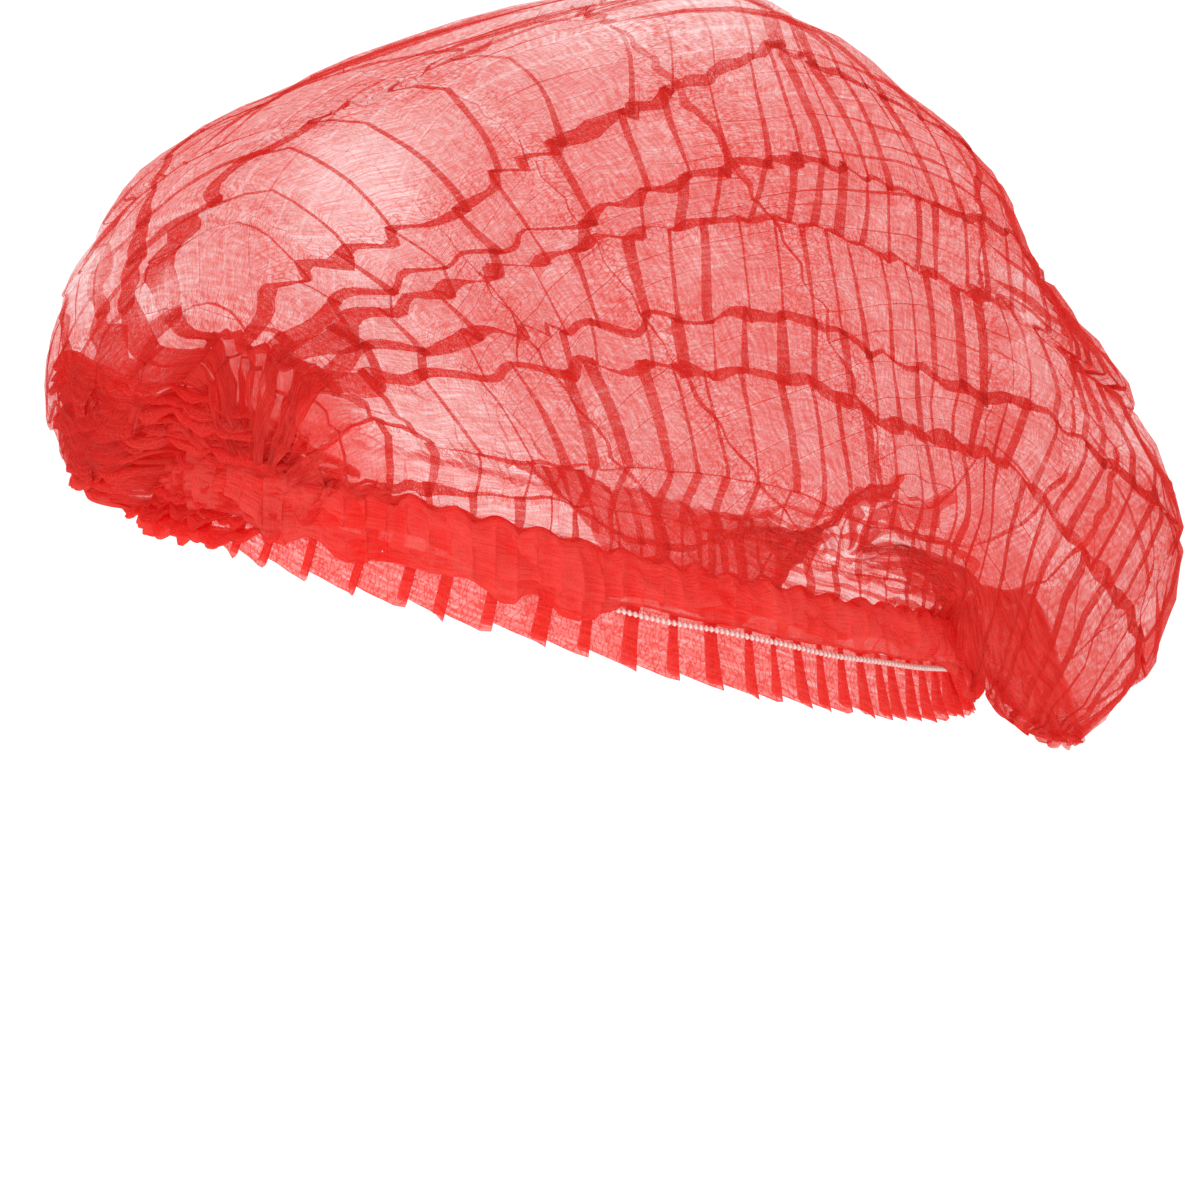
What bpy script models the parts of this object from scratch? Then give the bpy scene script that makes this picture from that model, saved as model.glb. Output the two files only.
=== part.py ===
"""Disposable pleated mob cap in its worn shape.

Metres, with +Z up, -Y the forehead and +X the wearer's left. The origin is the middle of
the rim, the sloping loop in which the elastic lies. Angles are in degrees. Round the rim they
run from the forehead (0) past the wearer's left side (90) to the nape (180).
"""

import bpy
import numpy as np

# Rim
RIM_HALF_WIDTH = 0.0735
RIM_HALF_DEPTH = 0.092
RIM_SLOPE = 0.33

# Cloth, and the gap between neighbouring pieces
CLOTH_WALL = 0.0012
GAP = 0.0003

# Elastic
ELASTIC_DIAMETER = 0.0016
ELASTIC_POINTS = 72

# Frill below the elastic
FRILL_DROP = 0.0104
FRILL_SIDE_GAIN = 0.14
FRILL_FLARE = 0.0032
FRILL_LEAN = 0.0008
FRILL_PLEATS = 56

# Gathered hem above the elastic
HEM_HEIGHT = 0.010
HEM_THICKNESS = 0.0030
HEM_PUFF = 0.0022
HEM_RIB = 0.0014
HEM_RIBS = 48

# Crown
CROWN_HEIGHT = 0.1205
CREST_SETBACK = 0.026
CROWN_SEAT_OUT = 0.0028
CROWN_RISE = 0.003
CROWN_COLUMNS = 39
PANELS = 13
PLEAT_DEPTH = 0.0085
PLEAT_STEP = 1.8
PLEAT_ZIGZAG = 1.3
ROW_SPACING = 6.6
FULL_DEPTH_AFTER = 0.10

# Where the pleats are drawn together, and how far their lines lean from front to back
CAP_TURN = 13.0
GATHER_SPREAD = 9.0
GATHER_CLEARANCE = 1.9
GATHER_FADE = 16.0
GATHER_WALL = 0.0026
GATHER_FOLDS = 7
GATHER_FOLD_DEPTH = 0.0016
HEM_LIP = 1.0
FOLD_LEAN = 16.0

# Sections round the crown. Each has four places up the cloth: where it turns under, where it
# is fullest, the shoulder and the top. "out" is a share of the rim's radius there, "up" a share
# of the crown's height above the middle of the rim, "depth" a share of the pleat depth.
SECTION_NAMES = (
    "angle",
    "under_out", "under_up",
    "full_out", "full_up",
    "shoulder_out", "shoulder_up",
    "top_out", "top_up",
    "depth",
)
SECTIONS = (
    (13, 1.10, 0.54, 1.16, 0.62, 1.07, 0.75, 0.87, 0.87, 0.60),
    (40, 1.07, 0.37, 1.11, 0.49, 1.02, 0.68, 0.80, 0.855, 0.80),
    (70, 1.06, 0.27, 1.06, 0.44, 0.98, 0.66, 0.74, 0.85, 0.85),
    (100, 1.07, 0.17, 1.08, 0.41, 0.98, 0.66, 0.72, 0.85, 0.85),
    (125, 1.12, 0.07, 1.18, 0.28, 1.07, 0.58, 0.73, 0.85, 0.90),
    (145, 1.26, -0.31, 1.50, 0.10, 1.13, 0.53, 0.745, 0.81, 1.00),
    (172, 1.23, -0.39, 1.42, 0.00, 1.11, 0.47, 0.735, 0.80, 1.00),
    (193, 1.12, -0.03, 1.34, 0.06, 1.13, 0.46, 0.74, 0.81, 1.00),
    (215, 1.18, -0.30, 1.36, -0.02, 1.15, 0.48, 0.75, 0.82, 1.00),
    (250, 1.17, 0.10, 1.20, 0.30, 1.08, 0.63, 0.75, 0.85, 0.85),
    (290, 1.17, 0.12, 1.21, 0.37, 1.11, 0.66, 0.77, 0.84, 0.80),
    (325, 1.18, 0.16, 1.25, 0.38, 1.15, 0.62, 0.78, 0.83, 0.85),
    (350, 1.15, 0.26, 1.19, 0.43, 1.11, 0.65, 0.84, 0.84, 0.80),
)

# Share of the way from hem to crest at which each place lies, with the seat and the rise that
# come before them, and the share of the crest's setback that each has
PLACES_UP = (0, 0.05, 0.14, 0.34, 0.58, 0.79, 1.0)
PLACES_BACK = (0, 0, 0, 0, 0.1, 0.35, 1.0)
RISE_SHARE = 0.62


def empty_scene():
    """Removes whatever the scene holds."""
    for item in list(bpy.data.objects):
        bpy.data.objects.remove(item, do_unlink=True)


def new_material(name, colour, roughness):
    """A Principled material in one colour."""
    material = bpy.data.materials.new(name)
    material.use_nodes = True
    shader = material.node_tree.nodes["Principled BSDF"]
    shader.inputs["Base Color"].default_value = (*colour, 1.0)
    shader.inputs["Roughness"].default_value = roughness
    shader.inputs["Metallic"].default_value = 0.0
    return material


def spline(knots, values, at):
    """Smooth curve through the values at the knots. The outer two knots only steer it."""
    point = np.arange(len(at))
    after = np.clip(np.searchsorted(knots, at, side="right"), 2, len(knots) - 2)
    x0, x1, x2, x3 = (knots[after + step] for step in (-2, -1, 0, 1))
    y0, y1, y2, y3 = (values[after + step, point] for step in (-2, -1, 0, 1))
    span = x2 - x1
    s = (at - x1) / span
    start = (y2 - y0) / (x2 - x0) * span
    end = (y3 - y1) / (x3 - x1) * span
    return (
        (2 * s**3 - 3 * s**2 + 1) * y1
        + (s**3 - 2 * s**2 + s) * start
        + (3 * s**2 - 2 * s**3) * y2
        + (s**3 - s**2) * end
    )


def section_shares(angle):
    """The section table's columns by name, read smoothly at any angle round the cap."""
    table = np.array(SECTIONS, float)
    turn = np.zeros(len(SECTION_NAMES))
    turn[0] = 360.0
    rows = np.concatenate([table[-2:] - turn, table, table[:2] + turn])
    at = np.mod(angle - table[0, 0], 360.0) + table[0, 0]
    columns = {}
    for index, name in enumerate(SECTION_NAMES[1:], start=1):
        values = np.repeat(rows[:, index : index + 1], len(at), axis=1)
        columns[name] = spline(rows[:, 0], values, at)
    return columns


def rim_radius(angle):
    """Distance of the rim from the upright axis through its middle."""
    turn = np.radians(angle)
    return 1 / np.hypot(np.sin(turn) / RIM_HALF_WIDTH, np.cos(turn) / RIM_HALF_DEPTH)


def rim_height(angle):
    """Height of the rim, which rises towards the forehead."""
    return RIM_SLOPE * rim_radius(angle) * np.cos(np.radians(angle))


def by_rim(angle, out, up):
    """Points beside the rim, so far out from the head and so far up."""
    turn = np.radians(angle)
    radius = rim_radius(angle)
    x = radius * np.sin(turn)
    y = -radius * np.cos(turn)
    normal_x = x / RIM_HALF_WIDTH**2
    normal_y = y / RIM_HALF_DEPTH**2
    length = np.hypot(normal_x, normal_y)
    return np.stack(
        [x + out * normal_x / length, y + out * normal_y / length, rim_height(angle) + up],
        axis=-1,
    )


def hem_bottom():
    """Height of the hem's lower edge above the rim: just clear of the elastic."""
    return ELASTIC_DIAMETER / 2 + GAP


def hem_top():
    """Height of the hem's upper edge above the rim."""
    return hem_bottom() + HEM_HEIGHT


def crown_form(angle, up):
    """The crown's smooth form. up runs from 0 at the hem to 1 at the crest."""
    shares = section_shares(angle)
    turn = np.radians(angle)
    radius = rim_radius(angle)
    seat_out = radius + CROWN_SEAT_OUT
    seat_up = rim_height(angle) + hem_top() + GAP + CLOTH_WALL / 2
    under_out = shares["under_out"] * radius
    out = np.stack(
        [
            seat_out,
            seat_out + RISE_SHARE * (under_out - seat_out),
            under_out,
            shares["full_out"] * radius,
            shares["shoulder_out"] * radius,
            shares["top_out"] * radius,
            0 * radius,
        ]
    )
    height = np.stack(
        [
            seat_up,
            seat_up + CROWN_RISE,
            shares["under_up"] * CROWN_HEIGHT,
            shares["full_up"] * CROWN_HEIGHT,
            shares["shoulder_up"] * CROWN_HEIGHT,
            shares["top_up"] * CROWN_HEIGHT,
            0 * radius + CROWN_HEIGHT,
        ]
    )
    back = CREST_SETBACK * np.array(PLACES_BACK)[:, None] + 0 * out
    knots = np.array([-PLACES_UP[1], *PLACES_UP, 2 - PLACES_UP[-2]])

    def profile(values, before_hem, past_crest):
        return spline(knots, np.concatenate([[before_hem], values, [past_crest]]), up)

    reach = profile(out, out[1], -out[-2])
    x = reach * np.sin(turn)
    y = profile(back, back[0], back[-2]) - reach * np.cos(turn)
    z = profile(height, 2 * height[0] - height[1], height[-2])
    return np.stack([x, y, z], axis=-1)


def sheet_place(along, across):
    """Angle round the cap and share up it, for a place on the crown's sheet.

    along runs from 0 at the front gather to 180 at the back one. across runs from 90 at the
    hem on the wearer's left, over the crest, to -90 at the hem on the right.
    """
    lean = FOLD_LEAN * np.sin(np.radians(2 * along)) * np.sin(np.radians(2 * across))
    phi = np.radians(along)
    psi = np.radians(across - lean)
    side = np.sin(phi) * np.sin(psi)
    front = np.cos(phi)
    rise = np.clip(np.sin(phi) * np.cos(psi), 0, 1)
    return np.degrees(np.arctan2(side, front)) + CAP_TURN, np.degrees(np.arcsin(rise)) / 90


def fade(value, width):
    """Rises smoothly from 0 to 1 as the value goes from 0 to the width."""
    share = np.clip(value / width, 0, 1)
    return share * share * (3 - 2 * share)


def pleat_knots():
    """Places across the sheet where a panel starts or ends, and the share of the pleat depth there.

    Each panel runs out to its fold, and the cloth below the fold steps back in.
    """
    pleat = 360 / PANELS
    folds = 90 - pleat / 2 - pleat * np.arange(PANELS // 2)
    towards_hem = np.where(folds > -pleat / 2, PLEAT_STEP, -PLEAT_STEP)
    lips = np.array([-90, HEM_LIP - 90, 90 - HEM_LIP, 90])
    places = np.concatenate([lips, folds, folds + towards_hem])
    shares = np.concatenate([0 * lips, 1 + 0 * folds, 0 * folds])
    order = np.argsort(places)
    return places[order], shares[order]


def pleat_rows():
    """The rows across the sheet, at every knot and evenly between the far ones."""
    places = pleat_knots()[0]
    rows = [places[:1]]
    for start, end in zip(places, places[1:]):
        steps = max(1, round((end - start) / ROW_SPACING))
        rows.append(np.linspace(start, end, steps + 1)[1:])
    return np.concatenate(rows)[::-1]


def sheet_grid(along, across):
    """Points of the smooth form on a grid, its outward normals and its pleat depths."""
    angle, up = sheet_place(along, across)
    points = crown_form(angle.ravel(), up.ravel()).reshape(angle.shape + (3,))
    normals = np.cross(np.gradient(points, axis=1), np.gradient(points, axis=0))
    normals /= np.linalg.norm(normals, axis=-1, keepdims=True)
    depth = section_shares(angle.ravel())["depth"].reshape(angle.shape) * PLEAT_DEPTH
    return points, normals, depth


def crown_points():
    """The pleated sheet, one row for each line across it, from hem to hem over the crest."""
    along = np.linspace(GATHER_SPREAD, 180 - GATHER_SPREAD, CROWN_COLUMNS)
    along, across = np.meshgrid(along, pleat_rows())
    by_gather = fade(np.minimum(along, 180 - along) - GATHER_SPREAD, GATHER_FADE)
    by_hem = fade(sheet_place(along, across)[1] - PLACES_UP[2], FULL_DEPTH_AFTER)
    free = by_gather * by_hem
    step = np.where(np.arange(CROWN_COLUMNS) % 2, PLEAT_ZIGZAG, -PLEAT_ZIGZAG)
    points, normals, depth = sheet_grid(along, across + step * free)
    ridge = np.interp(across, *pleat_knots())
    return points + normals * (depth * free * ridge)[..., None]


def gather_points(back):
    """The bunched end of the pleats, a ribbed fan that fills the crown's opening."""
    reach = GATHER_SPREAD - GATHER_CLEARANCE
    along = reach * np.array([0.04, 0.36, 0.68, 1.0])
    if back:
        along = 180 - along[::-1]
    across = np.linspace(90, -90, 2 * GATHER_FOLDS + 1)
    along, across = np.meshgrid(along, across)
    points, normals, depth = sheet_grid(along, across)
    rib = np.where(np.arange(2 * GATHER_FOLDS + 1) % 2, 1.0, 0.0)[:, None]
    share = np.minimum(along, 180 - along) / reach
    swell = 4 * share * (1 - share)
    points[..., 2] += (GATHER_WALL - CLOTH_WALL) / 2 + GAP
    return points + normals * (GATHER_FOLD_DEPTH * rib * swell)[..., None]


def frill_points():
    """The knife-pleated margin below the elastic: its top, its neck and its lower edge."""
    lobe = np.array([0.0, 0.55, 1.0])
    count = FRILL_PLEATS * len(lobe)
    angle = np.arange(count) * 360 / count
    wave = np.tile(lobe, FRILL_PLEATS)
    drop = FRILL_DROP * (1 - FRILL_SIDE_GAIN * np.cos(np.radians(2 * angle)))
    clear = GAP + CLOTH_WALL / 2
    top = by_rim(angle, clear, ELASTIC_DIAMETER / 2)
    neck = by_rim(angle, clear, -ELASTIC_DIAMETER / 2 - GAP)
    lower = by_rim(angle, clear + FRILL_LEAN + FRILL_FLARE * wave, -drop)
    return np.stack([lower, neck, top])


def hem_sections():
    """The gathered band's closed sections, one for each place round the rim."""
    lobe = np.array([0.0, 0.8, 1.0])
    count = HEM_RIBS * len(lobe)
    angle = np.arange(count) * 360 / count
    rib = HEM_RIB * np.tile(lobe, HEM_RIBS)
    low, high = hem_bottom(), hem_top()
    inside = GAP
    ring = (
        (inside, low, 0.0),
        (inside + HEM_THICKNESS, low, 0.0),
        (inside + HEM_THICKNESS + HEM_PUFF, low + 0.3 * HEM_HEIGHT, 1.0),
        (inside + HEM_THICKNESS + HEM_PUFF, low + 0.7 * HEM_HEIGHT, 0.8),
        (inside + HEM_THICKNESS, high, 0.2),
        (inside, high, 0.0),
        (inside + HEM_PUFF, low + 0.5 * HEM_HEIGHT, 0.0),
    )
    return np.stack([by_rim(angle, out + share * rib, up) for out, up, share in ring])


def add_mesh(name, points, faces, material, collection):
    """A named mesh object, shaded smooth with its sharp folds kept."""
    mesh = bpy.data.meshes.new(name)
    mesh.from_pydata([tuple(point) for point in points], [], faces)
    mesh.materials.append(material)
    mesh.shade_smooth()
    mesh.set_sharp_from_angle(angle=np.radians(40))
    item = bpy.data.objects.new(name, mesh)
    collection.objects.link(item)
    return item


def grid_faces(rows, columns, round_columns=False, round_rows=False):
    """Quads between neighbouring rows and columns of a grid of points."""
    faces = []
    for row in range(rows if round_rows else rows - 1):
        for column in range(columns if round_columns else columns - 1):
            right = (column + 1) % columns
            above = (row + 1) % rows
            faces.append(
                (
                    row * columns + column,
                    row * columns + right,
                    above * columns + right,
                    above * columns + column,
                )
            )
    return faces


def add_shell(name, grid, wall, material, collection, round_columns=False):
    """An open pleated surface given its wall on both sides."""
    rows, columns = grid.shape[:2]
    faces = grid_faces(rows, columns, round_columns)
    item = add_mesh(name, grid.reshape(-1, 3), faces, material, collection)
    solidify = item.modifiers.new("wall", "SOLIDIFY")
    solidify.thickness = wall
    solidify.offset = 0.0
    return item


def add_elastic(material, collection):
    """The elastic, one closed loop that lies on the frill's neck under the hem."""
    curve = bpy.data.curves.new("elastic_loop", "CURVE")
    curve.dimensions = "3D"
    curve.bevel_depth = ELASTIC_DIAMETER / 2
    curve.bevel_resolution = 1
    curve.materials.append(material)
    line = curve.splines.new("POLY")
    line.points.add(ELASTIC_POINTS - 1)
    angle = np.arange(ELASTIC_POINTS) * 360 / ELASTIC_POINTS
    out = 2 * GAP + CLOTH_WALL + ELASTIC_DIAMETER / 2
    for point, place in zip(line.points, by_rim(angle, out, 0.0)):
        point.co = (*place, 1.0)
    line.use_cyclic_u = True
    collection.objects.link(bpy.data.objects.new("elastic_loop", curve))


def build():
    """The whole cap, one object for each piece."""
    empty_scene()
    collection = bpy.data.collections.new("mob_cap")
    bpy.context.scene.collection.children.link(collection)
    cloth = new_material("crown_cloth", (0.72, 0.10, 0.08), 0.75)
    bunched = new_material("gather_cloth", (0.86, 0.03, 0.015), 0.75)
    hemmed = new_material("hem_cloth", (0.80, 0.045, 0.03), 0.75)
    frilled = new_material("frill_cloth", (0.76, 0.07, 0.05), 0.75)
    rubber = new_material("elastic_thread", (0.85, 0.78, 0.75), 0.6)

    add_shell("crown", crown_points(), CLOTH_WALL, cloth, collection)
    add_shell("front_gather", gather_points(False), GATHER_WALL, bunched, collection)
    add_shell("back_gather", gather_points(True), GATHER_WALL, bunched, collection)
    add_shell("frill", frill_points(), CLOTH_WALL, frilled, collection, round_columns=True)
    hem = hem_sections()
    sections, places = hem.shape[:2]
    faces = grid_faces(sections, places, round_columns=True, round_rows=True)
    add_mesh("hem_band", hem.reshape(-1, 3), faces, hemmed, collection)
    add_elastic(rubber, collection)


build()
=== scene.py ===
"""Looks of the pleated mob cap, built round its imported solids.

Metres, with +Z up, -Y the forehead and +X the wearer's left. Angles are in degrees. The form
functions and sizes are those of the solids, so each piece of cloth lies where its solid is.
"""

from functools import partial
from types import SimpleNamespace

import bpy
import numpy as np
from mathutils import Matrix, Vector


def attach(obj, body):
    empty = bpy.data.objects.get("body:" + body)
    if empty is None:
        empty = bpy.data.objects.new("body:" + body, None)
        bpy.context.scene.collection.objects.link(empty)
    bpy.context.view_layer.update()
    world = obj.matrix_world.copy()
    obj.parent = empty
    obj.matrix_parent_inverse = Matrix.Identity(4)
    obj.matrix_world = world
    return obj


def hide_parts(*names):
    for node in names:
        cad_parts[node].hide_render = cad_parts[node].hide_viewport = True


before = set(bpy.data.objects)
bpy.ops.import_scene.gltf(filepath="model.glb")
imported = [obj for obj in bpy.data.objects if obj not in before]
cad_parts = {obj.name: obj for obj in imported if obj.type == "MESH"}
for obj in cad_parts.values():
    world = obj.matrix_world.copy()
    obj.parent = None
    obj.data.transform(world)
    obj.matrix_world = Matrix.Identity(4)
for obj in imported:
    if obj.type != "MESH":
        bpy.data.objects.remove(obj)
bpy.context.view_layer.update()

MM = 0.001

# Rim, elastic, frill, hem and crown: the sizes that the solids have
RIM_HALF_WIDTH = 0.0735
RIM_HALF_DEPTH = 0.092
RIM_SLOPE = 0.33
CLOTH_WALL = 0.0012
GAP = 0.0003
ELASTIC_DIAMETER = 0.0016
FRILL_DROP = 0.0104
FRILL_SIDE_GAIN = 0.14
HEM_HEIGHT = 0.010
CROWN_HEIGHT = 0.1205
CREST_SETBACK = 0.026
CROWN_SEAT_OUT = 0.0028
CROWN_RISE = 0.003
PLEAT_DEPTH = 0.0085
CAP_TURN = 13.0
GATHER_SPREAD = 9.0
FOLD_LEAN = 16.0
GATHER_FADE = 16.0
FULL_DEPTH_AFTER = 0.10

# The crown's profile at some angles round the cap: for each band of height its distance out, as a
# share of the rim's radius, and its height, as a share of the crown's. The last column is the
# share of the full pleat depth that the pleats have there.
BANDS = ("under", "full", "shoulder", "top")
SECTION_NAMES = ("angle", *[band + way for band in BANDS for way in ("_out", "_up")], "depth")
SECTIONS = (
    (13, 1.10, 0.54, 1.16, 0.62, 1.07, 0.75, 0.87, 0.87, 0.60),
    (40, 1.07, 0.37, 1.11, 0.49, 1.02, 0.68, 0.80, 0.855, 0.80),
    (70, 1.06, 0.27, 1.06, 0.44, 0.98, 0.66, 0.74, 0.85, 0.85),
    (100, 1.07, 0.17, 1.08, 0.41, 0.98, 0.66, 0.72, 0.85, 0.85),
    (125, 1.12, 0.07, 1.18, 0.28, 1.07, 0.58, 0.73, 0.85, 0.90),
    (133, 1.17, -0.22, 1.30, 0.22, 1.08, 0.57, 0.735, 0.84, 0.93),
    (145, 1.33, -0.35, 1.54, 0.08, 1.13, 0.53, 0.745, 0.81, 1.00),
    (172, 1.23, -0.39, 1.42, 0.00, 1.11, 0.47, 0.735, 0.80, 1.00),
    (193, 1.12, -0.03, 1.34, 0.06, 1.13, 0.46, 0.74, 0.81, 1.00),
    (215, 1.18, -0.30, 1.36, -0.02, 1.15, 0.48, 0.75, 0.82, 1.00),
    (250, 1.17, 0.10, 1.20, 0.30, 1.08, 0.63, 0.75, 0.85, 0.85),
    (290, 1.17, 0.12, 1.21, 0.37, 1.11, 0.66, 0.77, 0.84, 0.80),
    (325, 1.18, 0.16, 1.25, 0.38, 1.15, 0.62, 0.78, 0.83, 0.85),
    (350, 1.15, 0.26, 1.19, 0.43, 1.11, 0.65, 0.84, 0.84, 0.80),
)

# The profile's places up the form, from the hem to the crest, how far each lies back with the
# crest, and how far out the second lies between the first and the third
PLACES_UP = (0, 0.05, 0.14, 0.34, 0.58, 0.79, 1.0)
PLACES_BACK = (0, 0, 0, 0, 0.1, 0.35, 1.0)
RISE_SHARE = 0.62

# The crown's lengthwise pleats: the hem that a fold faces (1 left, -1 right), how far the cloth
# steps in below it as a share of a full step, the width of its fold in mm near the front gather,
# in the middle and near the back gather, the height of its zigzag in mm, and its place across the
# sheet at each of PLEAT_STATIONS along it
PLEAT_STATIONS = (5, 30, 42, 50, 60, 70, 80, 90, 100, 112, 135, 175)
PLEATS = (
    (1, 0.5, 2.0, 0.3, 4.0, 0.4, (80, 80, 80, 80, 81, 82, 82, 82, 80, 78, 79, 80)),
    (1, 0, 2.0, 0.3, 5.0, 0.5, (64, 62, 68, 71, 73, 74, 74, 74, 70, 63, 62, 65)),
    (1, 1.0, 5.6, 2.5, 7.0, 2.0, (47, 43, 48, 52, 56, 59, 60, 60, 54, 46, 44, 47)),
    (1, 0, 3.4, 1.8, 5.0, 2.0, (41, 38, 43, 46, 50, 51, 51, 51, 45, 38, 35, 38)),
    (1, 1.0, 5.0, 2.4, 7.0, 1.8, (28, 33, 34, 35, 34.5, 35, 35.5, 36, 33, 28, 24, 26)),
    (1, 0, 2.6, 1.7, 5.0, 1.8, (22, 29, 30.5, 30.5, 30, 27.5, 26, 26, 25, 20, 17, 18)),
    (1, 0, 4.4, 3.4, 4.0, 1.8, (8, 18, 22, 20, 16, 13, 10, 13, 14, 12, 8, 7)),
    (1, 0.9, 9.0, 3.8, 4.0, 2.2, (-10, -19, -8, -3, -2, -4, -8, -8, -8, -8, -7, -7)),
    (-1, 0, 9.0, 0.8, 4.0, 1.0, (-21, -28, -24, -22, -21, -21, -22, -22, -22, -22, -21, -21)),
    (-1, 0.6, 10.0, 1.4, 3.4, 1.2, (-35, -38, -37, -36, -35, -35, -35, -35, -35, -35, -35, -35)),
    (-1, 0, 10.0, 0.6, 1.6, 1.0, (-48, -49, -49, -48, -48, -48, -48, -48, -48, -48, -48, -48)),
    (-1, 0.6, 10.0, 1.4, 2.0, 1.2, (-62,) * 12),
    (-1, 0, 8.0, 0.6, 1.2, 1.0, (-76,) * 12),
)

# The pleat from which on folds stay wide for longer behind the front gather, the pitches in mm of
# the waves along the folds, and how far the pleats and the pouch's slack move the cloth
LONG_FOLDS_FROM = 7
MEANDER_PITCH = 11.2
STAIR_PITCH = 13.5
WIGGLE_PITCH = 3.1
STEP_SHARE = 0.5
LEAST_STEP = 0.9 * MM
BASE_SHARE = 0.38
POUCH_SLACK = 2.8 * MM

# The crown's crosswise creases, and the grid between them
CREASE_LINE = 44.0
CREASE_SPACING = 8.2 * MM
CREASE_JITTER = 1.4 * MM
CREASE_SWING = 1.7 * MM
COLUMNS_BETWEEN = 6
ROW_STEP = 2.5

# How far the creases lean: degrees along for each degree across, above and below the line
# LEAN_LINE across, at each place along
LEAN_LINE = 50
LEAN_STATIONS = (5, 30, 55, 75, 90, 100, 115, 135, 175)
LEAN_BELOW = (0, -0.25, -0.32, -0.12, 0.1, 0.3, 0.15, 0.0, 0.0)
LEAN_ABOVE = (0, -0.35, -0.45, -0.40, -0.12, 0.0, 0.0, 0.0, 0.0)

# Shares of a fold's width at which its lines lie, how each lies off there to round the bends, its
# layer from the lowest up, and the share of a pleat's step that it takes. The second and fifth
# lines are the two bent edges.
FOLD_LINES = 6
FOLD_SHARES = np.array([-0.5, -0.5, -0.5, 0.5, 0.5, 0.5])
FOLD_ROUNDS = np.array([1.0, 0.0, 1.0, -1.0, 0.0, -1.0])
FOLD_LAYERS = np.array([0.0, 0.5, 1.0, 1.0, 1.5, 2.0])
STEP_SHARES = np.array([0.06, 0.18, 0.30, 0.80, 0.93, 1.0])
LAYER_GAP = 0.22 * MM
FOLD_ROUND = 0.16 * MM

# Places on the sheet (along, across, reach in degrees) where the cloth lies open and thin
THIN_PLACES = (
    (36, -16, 7), (113, 34, 5), (118, 35, 5), (124, 44, 6), (112, 28, 5), (117, 46, 5),
    (140, 60, 6), (88, 2, 8), (127, 25, 5), (133, 52, 6), (55, -40, 8), (98, -38, 9),
)

FRILL_PLEATS = 62
HEM_PUCKERS = 124
ELASTIC_BEADS = 430

# How far the hem stands out from the rim where the gathers lie over it, the gathers' rough
# radius, and a radian in degrees
HEM_STAND = 4.2 * MM
LEAF_RADIUS = 0.09
RADIAN = 57.3

# The hem's roll, from its turned-under edge, round its outer face, to behind the crown's foot:
# share of the way, distance out and height in mm, and how much of the droop it takes
HEM_SHARES = (0, 0.10, 0.22, 0.45, 0.70, 0.86, 0.94, 1)
HEM_OUT = (1.8, 2.5, 4.0, 5.0, 4.6, 3.4, 2.4, 1.2)
HEM_UP = (2.2, 1.4, 2.2, 5.4, 9.6, 12.2, 12.8, 11.0)
HEM_DROOP = (0.75, 1.0, 0.85, 0.35, 0, 0, 0, 0)

DEEP_RED = (0.98, 0.030, 0.022)
PALE_RED = (1.0, 0.115, 0.095)
PASSING_RED = (0.95, 0.47, 0.45)
CROWN_PASSING_RED = (0.84, 0.45, 0.43)
LEAST_DENSITY = 0.06
MOST_DENSITY = 0.95

# The camera: the way back to it from the cap, 55 degrees round from the front and 15 up, and
# how far off it stands, to the right of that line and below it
VIEW_BACK = np.array([0.7912, -0.5540, 0.2588])
VIEW_RIGHT = (0.574, 0.819, 0.0)
VIEW_UP = (-0.2120, 0.1485, 0.9659)
CAMERA_DISTANCE = 1.2
CAMERA_RIGHT = 0.00683
CAMERA_BELOW = 0.00705

FLOOR_HEIGHT = -0.2
FLOOR_HALF = 20.0


def spline(knots, values, at):
    """Smooth curve through the values at the knots. The outer two knots only steer it."""
    point = np.arange(len(at))
    after = np.clip(np.searchsorted(knots, at, side="right"), 2, len(knots) - 2)
    x0, x1, x2, x3 = (knots[after + step] for step in (-2, -1, 0, 1))
    y0, y1, y2, y3 = (values[after + step, point] for step in (-2, -1, 0, 1))
    span = x2 - x1
    s = (at - x1) / span
    start = (y2 - y0) / (x2 - x0) * span
    end = (y3 - y1) / (x3 - x1) * span
    return (
        (2 * s**3 - 3 * s**2 + 1) * y1
        + (s**3 - 2 * s**2 + s) * start
        + (3 * s**2 - 2 * s**3) * y2
        + (s**3 - s**2) * end
    )


def section_shares(angle):
    """The section table's columns by name, read smoothly at any angle round the cap."""
    table = np.array(SECTIONS, float)
    turn = np.zeros(len(SECTION_NAMES))
    turn[0] = 360.0
    rows = np.concatenate([table[-2:] - turn, table, table[:2] + turn])
    at = np.mod(angle - table[0, 0], 360.0) + table[0, 0]
    columns = {}
    for index, name in enumerate(SECTION_NAMES[1:], start=1):
        values = np.repeat(rows[:, index : index + 1], len(at), axis=1)
        columns[name] = spline(rows[:, 0], values, at)
    return columns


def rim_radius(angle):
    """Distance of the rim from the upright axis through its middle."""
    turn = np.radians(angle)
    return 1 / np.hypot(np.sin(turn) / RIM_HALF_WIDTH, np.cos(turn) / RIM_HALF_DEPTH)


def rim_height(angle):
    """Height of the rim, which rises towards the forehead."""
    return RIM_SLOPE * rim_radius(angle) * np.cos(np.radians(angle))


def by_rim(angle, out, up):
    """Points beside the rim, so far outward and so far up."""
    turn = np.radians(angle)
    radius = rim_radius(angle)
    x = radius * np.sin(turn)
    y = -radius * np.cos(turn)
    normal_x = x / RIM_HALF_WIDTH**2
    normal_y = y / RIM_HALF_DEPTH**2
    length = np.hypot(normal_x, normal_y)
    return np.stack(
        [x + out * normal_x / length, y + out * normal_y / length, rim_height(angle) + up],
        axis=-1,
    )


def hem_top():
    """Height of the hem's upper edge above the rim. Its lower edge just clears the elastic."""
    return ELASTIC_DIAMETER / 2 + GAP + HEM_HEIGHT


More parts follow.
